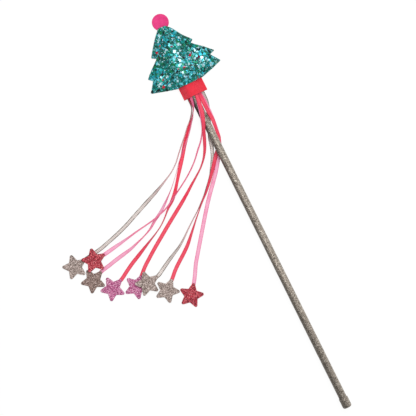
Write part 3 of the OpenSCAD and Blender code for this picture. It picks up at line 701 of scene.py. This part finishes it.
def felt(name, base, dark):
    """Felt: soft patches and fibres in two tones, with a fibre bump and a dull sheen."""
    material, tree, shader = new_material(name)
    fibres = add_group(tree, FIBRES, Vector=object_place(tree))
    tone = math_node(tree, "ADD", fibres["Fibre"], fibres["Patch"])
    feed_all(tree, shader.inputs, {
        "Base Color": mix_colours(tree, map_range(tree, tone, *FELT_TONES), dark, base),
        "Normal": bump(tree, fibres["Fibre"], strength=0.5, distance=0.25),
        "Roughness": 0.92,
        "Sheen Weight": 0.1,
    })
    return material


def turned_share(tree):
    """How far the ribbon is turned on edge, from its own attribute, the sine of its roll: 0 up to
    TURNED_FROM, 1 when upright. This sets how much painted shade tone the ribbon takes on edge."""
    turned = node(tree, "ShaderNodeAttribute", attribute_name="turned")
    return map_range(tree, turned.outputs["Fac"], TURNED_FROM, 1, smooth=True)


def satin(name, face, painted_sheen, shade_tone, selvedge, root_shade):
    """Satin ribbon: a bright face with a painted sheen along its middle that drifts in tone, a painted shade
    tone where the ribbon turns on edge and, by the given share, near its root in the trunk's shade, with fine
    cross threads and darker selvedges."""
    material, tree, shader = new_material(name)
    weave = add_group(tree, WEAVE, Border=0.13)
    # painted sheen: a lighter tone along the middle of the satin
    lit = math_node(tree, "MULTIPLY", weave["Middle"], PAINTED_SHEEN_SHARE)
    tone = mix_colours(tree, math_node(tree, "MULTIPLY", weave["Drift"], lit), face, painted_sheen)
    # painted shade near the trunk, by the given share
    shaded_root = math_node(tree, "MULTIPLY", weave["Root"], root_shade)
    # painted shade tone where the ribbon turns on edge and near the trunk, whichever is more
    turned = mix_colours(tree, math_node(tree, "MAXIMUM", turned_share(tree), shaded_root), tone, shade_tone)
    edged = mix_colours(tree, math_node(tree, "MULTIPLY", weave["Edge"], SELVEDGE_SHARE), turned, selvedge)
    threads = math_node(tree, "MULTIPLY", weave["Thread"], THREAD_SHARE)
    feed_all(tree, shader.inputs, {
        "Base Color": mix_colours(tree, threads, edged, selvedge),
        "Normal": bump(tree, weave["Thread"], strength=0.4, distance=0.06),
        "Roughness": 0.42,
        "Specular IOR Level": 0.3,
        "Sheen Weight": 0.05,
    })
    return material


def metallic_ribbon(name, face, rung, shade_tone, selvedge):
    """Woven metallic ribbon: pale cross threads between darker rungs, dark selvedges broken by the rungs and
    in blotches, a painted shade tone where the ribbon turns on edge, and painted shade near its root by the
    trunk."""
    material, tree, shader = new_material(name)
    weave = add_group(tree, WEAVE, Border=0.2)
    gaps = math_node(tree, "MULTIPLY_ADD", weave["Rung"], SELVEDGE_RUNG, SELVEDGE_DARK)
    blotch = map_range(tree, weave["Drift"], *BLOTCHES, *BLOTCH_DARK)
    broken = math_node(tree, "MULTIPLY", weave["Edge"], math_node(tree, "MULTIPLY", gaps, blotch))
    edged = mix_colours(tree, broken, mix_colours(tree, weave["Rung"], face, rung), selvedge)
    # painted shade tone where the ribbon turns on edge
    turned = mix_colours(tree, math_node(tree, "MULTIPLY", turned_share(tree), SILVER_TURNED), edged, shade_tone)
    # painted shade near the trunk, towards the selvedge's dark tone
    shaded_root = math_node(tree, "MULTIPLY", weave["Root"], SILVER_ROOT_SHADE)
    feed_all(tree, shader.inputs, {
        "Base Color": mix_colours(tree, shaded_root, turned, selvedge),
        "Normal": bump(tree, weave["Rung"], strength=0.4, distance=0.12),
        "Roughness": 0.45,
        "Metallic": 0.15,
    })
    return material


def flake_material():
    """Loose flakes: each takes its colour from the piece's own flake colours, and shines like foil."""
    material, tree, shader = new_material("glitter_flake")
    colour = node(tree, "ShaderNodeAttribute", attribute_name="flake").outputs["Color"]
    feed_all(tree, shader.inputs, {"Base Color": colour, "Roughness": 0.3, "Metallic": 0.45})
    return material


def wood():
    """Plain dowel wood: fine grain drawn out along the stick."""
    material, tree, shader = new_material("dowel_wood")
    stretch = node(tree, "ShaderNodeMapping")
    feed_all(tree, stretch.inputs, {"Vector": object_place(tree), "Scale": (900, 40, 900)})
    grain = noise(tree, stretch.outputs["Vector"], scale=1, detail=5)
    feed_all(tree, shader.inputs, {
        "Base Color": colour_ramp(tree, grain, [(0.3, srgb(196, 160, 112)), (0.7, srgb(224, 194, 150))]),
        "Normal": bump(tree, grain, strength=0.2, distance=0.1),
        "Roughness": 0.6,
    })
    return material


def fluff():
    """White wadding: soft tangled fibre."""
    material, tree, shader = new_material("wadding_fluff")
    fibre = add_group(tree, FIBRES, Vector=object_place(tree))["Fibre"]
    feed_all(tree, shader.inputs, {
        "Base Color": mix_colours(tree, fibre, srgb(225, 222, 215), srgb(248, 246, 242)),
        "Normal": bump(tree, fibre, strength=0.8, distance=0.5),
        "Roughness": 0.95,
    })
    return material


# Ribbon finishes: satin with a painted sheen along its middle, and all with a painted shade tone on edge and
# near the trunk
RIBBON_MATERIALS = {
    "coral": satin(
        "coral_satin", face=srgb(240, 50, 82), painted_sheen=srgb(248, 84, 108), shade_tone=srgb(232, 42, 88),
        selvedge=srgb(214, 28, 74), root_shade=0.15,
    ),
    "pink": satin(
        "pink_satin", face=srgb(246, 148, 188), painted_sheen=srgb(252, 184, 212), shade_tone=srgb(252, 96, 146),
        selvedge=srgb(236, 106, 154), root_shade=0.9,
    ),
    "silver": metallic_ribbon(
        "silver_ribbon", face=srgb(227, 217, 212), rung=srgb(194, 181, 175), shade_tone=srgb(238, 204, 204),
        selvedge=srgb(102, 89, 78),
    ),
}
STAR_MATERIALS = {
    label: glitter_fabric(f"{label}_glitter", shades, STAR_FLAKE, STAR_TILT)
    for label, shades in STAR_SHADES.items()
}
# The stick's glitter, with painted shade on its shaded side and under the ribbons
CHAMPAGNE = glitter_fabric("champagne_glitter", CHAMPAGNE_SHADES, flake=0.4, tilt=0.4, metal=0.4, shaded=True)
TEAL = glitter_fabric("teal_glitter", TEAL_SHADES, flake=0.75, tilt=0.9, metal=0.35)
FLAKE = flake_material()
RED_FELT = felt("red_felt", base=srgb(243, 52, 72), dark=srgb(226, 38, 58))
PINK_FELT = felt("pink_felt", base=srgb(244, 72, 143), dark=srgb(218, 44, 115))
WOOD = wood()
FLUFF = fluff()


def add_camera():
    """A long lens straight above the middle of the view, turned so that the stick leans as in the
    photograph."""
    lens = bpy.data.cameras.new("camera")
    lens.sensor_width = SENSOR
    lens.lens = SENSOR * CAMERA_HEIGHT / (PHOTO_PIXELS * MM_PER_PIXEL)
    lens.clip_end = 10
    camera = bpy.data.objects.new("camera", lens)
    camera.location = (VIEW_MIDDLE[0] * MM, VIEW_MIDDLE[1] * MM, CAMERA_HEIGHT * MM)
    camera.rotation_euler = (0, 0, -math.radians(STICK_LEAN))
    bpy.context.collection.objects.link(camera)
    bpy.context.scene.camera = camera


def ribbon_rings(path):
    """A flat section carried along the path: its width runs across the path, turned by the roll, its
    thickness falls off at the edges as (1 - (2u)^8)^(1/2), and it is cupped as 4u^2 - 0.3."""
    ahead = unit(np.gradient(path[:, :3], axis=0))
    side = unit(np.stack([ahead[:, 1], -ahead[:, 0], np.zeros(len(path))], 1))
    roll = np.radians(path[:, 3])[:, None]
    across = np.cos(roll) * side + np.sin(roll) * np.cross(side, ahead)
    normal = np.cross(ahead, across)
    u = np.sin(np.linspace(-np.pi / 2, np.pi / 2, 11)) / 2
    half = RIBBON_T / 2 * np.sqrt(1 - (2 * u) ** 8)
    cup = RIBBON_CUP * (4 * u ** 2 - 0.3)
    u_round = np.concatenate([u, u[-2:0:-1]])
    h_round = np.concatenate([half + cup, (cup - half)[-2:0:-1]])
    rings = (
        path[:, None, :3]
        + u_round[None, :, None] * RIBBON_W * across[:, None]
        + h_round[None, :, None] * normal[:, None]
    )
    return rings, u_round + 0.5


def add_ribbon(number, route, finish):
    """One ribbon along its route. Returns the piece, its path and its length, both in metres."""
    path, run = smooth_curve(route, RIBBON_STEP)
    rings, share = ribbon_rings(path)
    uv = np.stack(np.broadcast_arrays(run[:, None], share[None, :]), -1)
    turned = np.broadcast_to(np.abs(np.sin(np.radians(path[:, 3])))[:, None], uv.shape[:2])
    piece = ringed_piece(f"streamer_{number}", rings, RIBBON_MATERIALS[finish], uv, [("turned", turned)])
    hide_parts(f"ribbon_{number}")
    return piece, path[:, :3] * MM, run[-1] * MM


def star_outline():
    """A five-armed star with round tips: each tip is an arc of the tip radius, and each notch a point."""
    reach = STAR_R - STAR_TIP_R
    notch = STAR_NOTCH_R * np.array([math.cos(math.radians(36)), math.sin(math.radians(36))]) - (reach, 0)
    sweep = math.atan2(notch[1], notch[0]) - math.acos(STAR_TIP_R / np.hypot(*notch))
    arc = np.linspace(-sweep, sweep, 9)
    tip = np.stack([reach + STAR_TIP_R * np.cos(arc), STAR_TIP_R * np.sin(arc)], 1)
    arm = np.concatenate([tip, [notch + (reach, 0)]])
    turns = np.radians(72) * np.arange(5)
    corners = np.array([[(math.cos(a), -math.sin(a)), (math.sin(a), math.cos(a))] for a in turns])
    return np.einsum("aij,nj->ani", corners, arm).reshape(-1, 2)


def add_star_layer(number, side):
    """One die-cut layer: the outline carried over a rounded edge, then drawn in to the middle. Its height
    stays between the faces of its CAD node."""
    low, high = (np.array(corner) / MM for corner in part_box(f"star_{number}_{side}"))
    x, y, angle, glitter = STARS[number - 1]
    way = math.radians(angle)
    flat = even_outline(round_corners(star_outline(), STAR_CORNER), STAR_POINTS)
    turned = flat @ np.array([(math.cos(way), math.sin(way)), (-math.sin(way), math.cos(way))])
    middle = np.array([x, y]) - STAR_R * np.array([math.cos(way), math.sin(way)])
    edge = turned + middle
    inward = unit(np.roll(edge, -1, 0) - np.roll(edge, 1, 0)) @ np.array([(0, 1), (-1, 0)])
    turns = np.linspace(-np.pi / 2, np.pi / 2, 7)
    height = (low[2] + high[2]) / 2 + np.where(turns < 0, -1, 1) * ((high[2] - low[2]) / 2 - STAR_BEVEL)
    height = height + STAR_BEVEL * np.sin(turns)
    inset = STAR_BEVEL * (1 - np.cos(turns))
    walls = [at_height(edge + inward * i, h) for i, h in zip(inset, height)]
    shares = (0.92, 0.75, 0.5, 0.25, 0.08)
    body = edge + inward * STAR_BEVEL
    under = [at_height(middle + s * (body - middle), low[2]) for s in shares[::-1]]
    over = [at_height(middle + s * (body - middle), high[2]) for s in shares]
    rings = np.array(under + walls + over)
    piece = ringed_piece(f"star_{number}_{side}_glitter", rings, STAR_MATERIALS[glitter])
    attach(piece, f"star_{number}")
    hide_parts(f"star_{number}_{side}")
    return piece


def add_streamers():
    """The ribbons with their stars."""
    for number, (route, finish, (x, y, angle, _)) in enumerate(zip(ROUTES, RIBBON_FINISHES, STARS), 1):
        piece, path, length = add_ribbon(number, route, finish)
        layers = [add_star_layer(number, side) for side in ("back", "front")]
        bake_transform(piece)


def tree_under(points, outline):
    """Underside of the padded panel: the rim's height plus the root of the squares of the crown, which
    rises over CROWN_RUN from the edge as 1 - (1 - d)^2, the ridge over the stick, and the lift over the
    disc. A gentle unevenness fades out over the last quarter of CROWN_RUN to the edge."""
    x = points[..., 0]
    y = points[..., 1]
    share = np.minimum(1, edge_distance(points, outline) / CROWN_RUN)
    crown = CROWN_H * (1 - (1 - share) ** 2)
    ridge = np.interp(y, RIDGE_Y, RIDGE_H) * hump(x, RIDGE_REACH)
    off_disc = np.hypot(x - DISC_MIDDLE[0], y - DISC_MIDDLE[1]) - DISC_R
    past = np.maximum(0, off_disc - DISC_LIFT_PAST)
    lift = DISC_LIFT * hump(past, (DISC_LIFT_REACH, DISC_LIFT_REACH))
    uneven = TREE_UNEVEN * np.minimum(1, share * 4) * ripple(x, y, TREE_UNEVEN_SIZE, SEED)
    return RIM_Z + np.sqrt(crown ** 2 + ridge ** 2 + lift ** 2) + uneven


def puffed(rings):
    """How far each point of the padded panel moves when cloth of its shape, sewn down round its rim and cut
    a little too large, is pushed out by the wadding. The cloth is simulated PUFF_SCALE times as large as it
    is. A point rises by no more than PUFF_CAP and never sinks, and moves sideways only where it rises."""
    count, around, _ = rings.shape
    points = np.concatenate([rings.reshape(-1, 3), rings[:1].mean(1)])
    turn = np.arange(around)
    quads = [face for face in ring_faces(count, around) if len(face) == 4]
    fan = np.stack([np.full(around, count * around), (turn + 1) % around, turn], -1).tolist()
    mesh = bpy.data.meshes.new("panel_cloth")
    mesh.from_pydata((points * MM * PUFF_SCALE).tolist(), [], quads + fan)
    cloth_piece = bpy.data.objects.new("panel_cloth", mesh)
    bpy.context.collection.objects.link(cloth_piece)
    rim = cloth_piece.vertex_groups.new(name="rim")
    rim.add(list(range((count - 1) * around, count * around)), 1.0, "REPLACE")
    cloth = cloth_piece.modifiers.new("cloth", "CLOTH")
    cloth.settings.quality = 6
    cloth.settings.mass = 0.3
    cloth.settings.tension_stiffness = 20
    cloth.settings.compression_stiffness = 20
    cloth.settings.bending_stiffness = 3
    cloth.settings.vertex_group_mass = "rim"
    cloth.settings.shrink_min = -PUFF_SPARE
    cloth.settings.use_pressure = True
    cloth.settings.uniform_pressure_force = PUFF_PRESSURE
    cloth.settings.effector_weights.gravity = 0
    cloth.collision_settings.use_collision = False
    cloth.point_cache.frame_end = PUFF_FRAMES
    scene = bpy.context.scene
    for step in range(1, PUFF_FRAMES + 1):
        scene.frame_set(step)
    final = cloth_piece.evaluated_get(bpy.context.evaluated_depsgraph_get()).to_mesh()
    places = np.zeros(len(points) * 3)
    final.vertices.foreach_get("co", places)
    scene.frame_set(1)
    bpy.data.objects.remove(cloth_piece)
    moved = (places.reshape(-1, 3) / (MM * PUFF_SCALE) - points)[:-1].reshape(rings.shape)
    rise = np.clip(moved[..., 2:], 0, PUFF_CAP)
    most = PUFF_SIDEWAYS * PUFF_CAP
    sideways = np.clip(moved[..., :2], -most, most) * (rise > 0)
    return np.concatenate([sideways, rise], -1)


def add_tree():
    """The padded front panel, the flat back panel and the wadding between them. Returns the outline, and the
    panel's upper surface as rings from its middle to its rim, with the share of the way out of each ring."""
    outline = even_outline(round_corners(TREE_OUTLINE, TREE_CORNER), TREE_POINTS)
    shares = np.concatenate([np.linspace(0.04, 0.9, 24), [0.93, 0.955, 0.975, 0.99, 1]])
    middle = np.array(TREE_MIDDLE)
    plan = np.array([middle + s * (outline - middle) for s in shares])
    under = np.concatenate([plan, tree_under(plan, outline)[..., None]], -1)
    shape = under
    shape = under + puffed(under)
    over = shape + (0, 0, PANEL_T)
    front = ringed_piece("tree_front_panel", np.concatenate([shape, over[::-1]]), TEAL)
    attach(front, "wand")
    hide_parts("tree_front")

    flat = np.zeros(plan.shape[:2] + (1,))
    floor = np.concatenate([plan, flat], -1)
    top = np.concatenate([plan, flat + PANEL_T], -1)[::-1]
    back = ringed_piece("tree_back_panel", np.concatenate([floor, top]), TEAL)
    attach(back, "wand")
    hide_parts("tree_back")

    inner = shares < STUFFING_REACH
    low = np.concatenate([plan[inner], flat[inner] + PANEL_T + STUFFING_GAPS[0]], -1)
    high = under[inner][::-1] - (0, 0, STUFFING_GAPS[1])
    stuffing = ringed_piece("tree_stuffing", np.concatenate([low, high]), FLUFF)
    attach(stuffing, "wand")
    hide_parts("tree_wadding")
    return outline, shares, over


def on_rings(grid, ring, turn):
    """The value of a ringed grid between its points: linear from ring to ring, and round each ring."""
    inner = np.clip(ring.astype(int), 0, len(grid) - 2)
    out = (ring - inner)[:, None]
    first = turn.astype(int) % grid.shape[1]
    after = (first + 1) % grid.shape[1]
    on = (turn - np.floor(turn))[:, None]
    near = grid[inner, first] * (1 - on) + grid[inner, after] * on
    far = grid[inner + 1, first] * (1 - on) + grid[inner + 1, after] * on
    return near * (1 - out) + far * out


def flake_layer(rng, outline, shares, over, count, sizes, tilt, lift, margin):
    """Flat hexagons spread evenly over the panel, up to the margin from its rim: each has a radius between
    the two sizes, and is turned and tilted at random about the panel's own normal. Returns the corners,
    and the middles."""
    spokes = outline - np.array(TREE_MIDDLE)
    following = np.roll(spokes, -1, 0)
    sector = np.abs(spokes[:, 0] * following[:, 1] - spokes[:, 1] * following[:, 0])
    turn = rng.choice(len(outline), count, p=sector / sector.sum()) + rng.random(count)
    ring = np.interp(np.sqrt(rng.random(count)), shares, np.arange(len(shares)))
    along = np.gradient(over, axis=0)
    round_it = (np.roll(over, -1, 1) - np.roll(over, 1, 1)) / 2
    normals = unit(np.cross(along, round_it))
    normals = normals * np.sign(normals[..., 2:])
    spots = on_rings(over, ring, turn)
    facing = unit(on_rings(normals, ring, turn) + rng.normal(0, tilt, (count, 3)))
    first = unit(np.cross(facing, unit(rng.normal(0, 1, (count, 3)))))
    second = np.cross(facing, first)
    size = rng.uniform(*sizes, count)[:, None, None]
    keep = edge_distance(spots[:, :2], outline) > margin
    centre = spots + lift * facing
    angle = np.radians(360 / FLAKE_SIDES * np.arange(FLAKE_SIDES))[None, :, None]
    corners = centre[:, None] + size * (np.cos(angle) * first[:, None] + np.sin(angle) * second[:, None])
    thick = FLAKE_T / 2 * facing[:, None]
    return np.concatenate([corners + thick, corners - thick], 1)[keep], spots[keep]


def flake_tints(rng, spots, fine):
    """A colour for each flake. The pale ones, partly painted glints, are most common round PALE_MIDDLE, and
    fall off as exp(-(distance / PALE_REACH)^2). A few of the flakes after the fine ones have an odd colour."""
    palette = np.array([colour for colour, _, _ in FLAKE_COLOURS])
    common = np.array([(rim, gathered) for _, rim, gathered in FLAKE_COLOURS])
    common = common / common.sum(0)
    off = (spots[:, :2] - PALE_MIDDLE) / PALE_REACH
    pale = np.exp(-(off ** 2).sum(1))[:, None]
    chance = np.cumsum((1 - pale) * common[:, 0] + pale * common[:, 1], 1)
    tints = palette[(rng.random(len(spots))[:, None] > chance[:, :-1]).sum(1)]
    draw = rng.random(len(spots))
    draw[:fine] = 1
    ends = np.cumsum([share for _, share in ODD_FLAKES])
    for (colour, share), end in zip(ODD_FLAKES, ends):
        tints[(draw > end - share) & (draw <= end)] = colour
    return tints


def add_flakes(outline, shares, over):
    """Loose hexagonal flakes all over the padded panel: fine ones, and chunky ones over them."""
    rng = np.random.default_rng(SEED)
    layers = [flake_layer(rng, outline, shares, over, *layer) for layer in FLAKE_LAYERS]
    points, spots = (np.concatenate(parts) for parts in zip(*layers))
    corners = 2 * FLAKE_SIDES
    base = corners * np.arange(len(spots))[:, None]
    here = np.arange(FLAKE_SIDES)
    after = (here + 1) % FLAKE_SIDES
    top = base + here
    below = base + FLAKE_SIDES + here[::-1]
    wall = np.stack([here, here + FLAKE_SIDES, after + FLAKE_SIDES, after], -1)
    walls = (base[:, :, None] + wall[None]).reshape(-1, 4)
    faces = top.tolist() + below.tolist() + walls.tolist()
    piece = mesh_piece("tree_flakes", points, faces, FLAKE)
    piece.data.shade_flat()
    tints = flake_tints(rng, spots, len(layers[0][1]))
    colours = piece.data.attributes.new("flake", "FLOAT_COLOR", "POINT")
    colours.data.foreach_set("color", np.repeat(tints, corners, 0).ravel())
    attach(piece, "wand")


def trunk_under(x):
    """Underside of the front felt: the seam's height and a hump over the stick and the ribbons."""
    return TRUNK_SEAM_Z + (TRUNK_PEAK_Z - TRUNK_SEAM_Z) * hump(x, SWELL_REACH)


def add_trunk():
    """Two layers of felt: the front one bulges over the stick and the ribbons, and the back one is flat."""
    columns, rows = TRUNK_POINTS
    x, y = np.meshgrid(np.linspace(*TRUNK_X, columns), np.linspace(*TRUNK_Y, rows))
    fuzz = FELT_FUZZ * ripple(x, y, FELT_FUZZ_SIZE, SEED + 1)
    under = np.stack([x, y, trunk_under(x)], -1)
    over = np.stack([x, y, trunk_under(x) + FELT_T + fuzz], -1)
    front = sheet_piece("trunk_front_felt", over, under, RED_FELT)
    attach(front, "wand")
    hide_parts("trunk_front")
    flat = np.full(x.shape, TRUNK_BACK_Z)
    back = sheet_piece(
        "trunk_back_felt", np.stack([x, y, flat + FELT_T], -1), np.stack([x, y, flat], -1), RED_FELT
    )
    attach(back, "wand")
    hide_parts("trunk_back")


def add_disc():
    """Felt disc: a profile with a rounded edge turned about the disc's middle."""
    low, high = (np.array(corner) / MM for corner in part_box("felt_disc"))
    turns = np.linspace(-np.pi / 2, np.pi / 2, 9)
    straight = (high[2] - low[2]) / 2 - DISC_ROUND
    edge_r = DISC_R - DISC_ROUND + DISC_ROUND * np.cos(turns)
    edge_z = (low[2] + high[2]) / 2 + np.sign(turns) * straight + DISC_ROUND * np.sin(turns)
    flats = np.array([0.5, 2.5, 4.5, 6.0])
    radius = np.concatenate([flats, edge_r, flats[::-1]])
    height = np.concatenate([np.full(len(flats), low[2]), edge_z, np.full(len(flats), high[2])])
    around = np.linspace(0, 2 * np.pi, DISC_POINTS, endpoint=False)
    rings = np.stack(np.broadcast_arrays(
        DISC_MIDDLE[0] + radius[:, None] * np.cos(around),
        DISC_MIDDLE[1] + radius[:, None] * np.sin(around),
        height[:, None],
    ), -1)
    piece = ringed_piece("tip_disc_felt", rings, PINK_FELT)
    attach(piece, "wand")
    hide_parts("felt_disc")


def about_stick(radius, turn, y):
    """Points about the stick's axis, from a radius, an angle from +X and a place along Y."""
    return np.stack(np.broadcast_arrays(radius * np.cos(turn), y, STICK_Z + radius * np.sin(turn)), -1)


def add_stick():
    """The wrap is a strip rolled once round the dowel: its outer radius grows by LAP_STEP over the turn and
    is slightly uneven. The cap is a straight wall with a quarter-round end. The dowel keeps its solid."""
    y = np.linspace(*STICK_Y, WRAP_POINTS[0])[:, None]
    turn = LAP_TURN + np.linspace(0, 2 * np.pi, WRAP_POINTS[1])[None]
    growth = LAP_STEP * (turn - LAP_TURN) / (2 * np.pi)
    uneven = WRAP_UNEVEN * ripple(y, np.cos(turn) * WRAP_R, WRAP_UNEVEN_SIZE, SEED + 2)
    radius = WRAP_R - LAP_STEP + growth + uneven - WRAP_UNEVEN
    outside = about_stick(radius, turn, y)
    inside = about_stick(np.full(radius.shape, WRAP_INNER_R), turn, y)
    wrap = sheet_piece("stick_glitter_wrap", outside, inside, CHAMPAGNE)
    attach(wrap, "wand")
    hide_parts("stick_wrap")

    turns = np.linspace(0, np.pi / 2, 8)
    end_r = CAP_R - CAP_ROUND + CAP_ROUND * np.sin(turns)
    end_y = CAP_Y[0] + CAP_ROUND * (1 - np.cos(turns))
    end, top = CAP_Y
    # Rings from the middle of the end over its round, up the outer wall, over the rim and down the bore
    radius = np.concatenate([[0.6], end_r, [CAP_R, CAP_R, CAP_R - CAP_EDGE, CAP_INNER_R, CAP_INNER_R]])
    places = np.concatenate([[end], end_y, [top - 4, top - CAP_EDGE, top, top, top - CAP_DEPTH]])
    around = np.linspace(0, 2 * np.pi, CAP_POINTS, endpoint=False)[None]
    cap = ringed_piece("handle_cap", about_stick(radius[:, None], around, places[:, None]), CHAMPAGNE)
    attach(cap, "wand")
    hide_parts("end_cap")

    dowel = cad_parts["dowel"]
    dowel.data.materials.clear()
    dowel.data.materials.append(WOOD)


def seen_by(tree, *rays):
    """1 for the given kinds of ray, and 0 for others."""
    path = node(tree, "ShaderNodeLightPath").outputs
    seen = path[f"Is {rays[0]} Ray"]
    for ray in rays[1:]:
        seen = math_node(tree, "MAXIMUM", seen, path[f"Is {ray} Ray"])
    return seen


def add_floor():
    """A wide white floor. The camera sees it as nearly white by itself, so that only a faint shadow shows."""
    material, tree, shader = new_material("white_floor")
    feed_all(tree, shader.inputs, {"Base Color": (0.94, 0.94, 0.94, 1), "Roughness": 0.9})
    painted_sheen = node(tree, "ShaderNodeEmission")
    feed_all(tree, painted_sheen.inputs, {"Strength": FLOOR_GLOW})
    share = math_node(tree, "MULTIPLY", seen_by(tree, "Camera", "Glossy", "Transmission"), FLOOR_CLEAR)
    both = node(tree, "ShaderNodeMixShader")
    for value, socket in zip((share, shader.outputs[0], painted_sheen.outputs[0]), both.inputs):
        tree.links.new(value, socket)
    tree.links.new(both.outputs[0], tree.nodes["Material Output"].inputs["Surface"])
    square = FLOOR_REACH * np.array([(-1, -1), (1, -1), (1, 1), (-1, 1)])
    floor = mesh_piece("floor", at_height(square, FLOOR_Z), [[0, 1, 2, 3]], material)


def add_lights():
    """Soft studio light: an even white world, and one large lamp to the upper right of the picture."""
    world = bpy.data.worlds.new("studio")
    bpy.context.scene.world = world
    world.use_nodes = True
    tree = world.node_tree
    seen = seen_by(tree, "Camera", "Transmission")
    strength = math_node(tree, "MULTIPLY_ADD", seen, 1 - WORLD_LIGHT, WORLD_LIGHT)
    feed_all(tree, tree.nodes["Background"].inputs, {"Color": (1, 1, 1, 1), "Strength": strength})

    lamp = bpy.data.lights.new("key", "AREA")
    lamp.shape = "DISK"
    lamp.size = LAMP_WIDTH
    lamp.energy = LAMP_POWER
    key = bpy.data.objects.new("key", lamp)
    away = Vector(LAMP_PLACE)
    key.location = Vector((*VIEW_MIDDLE, 0)) * MM + away
    key.rotation_euler = away.to_track_quat("Z", "Y").to_euler()
    bpy.context.collection.objects.link(key)


add_camera()
add_streamers()
add_flakes(*add_tree())
add_trunk()
add_disc()
add_stick()
add_floor()
add_lights()
bpy.context.scene.view_settings.view_transform = "Standard"
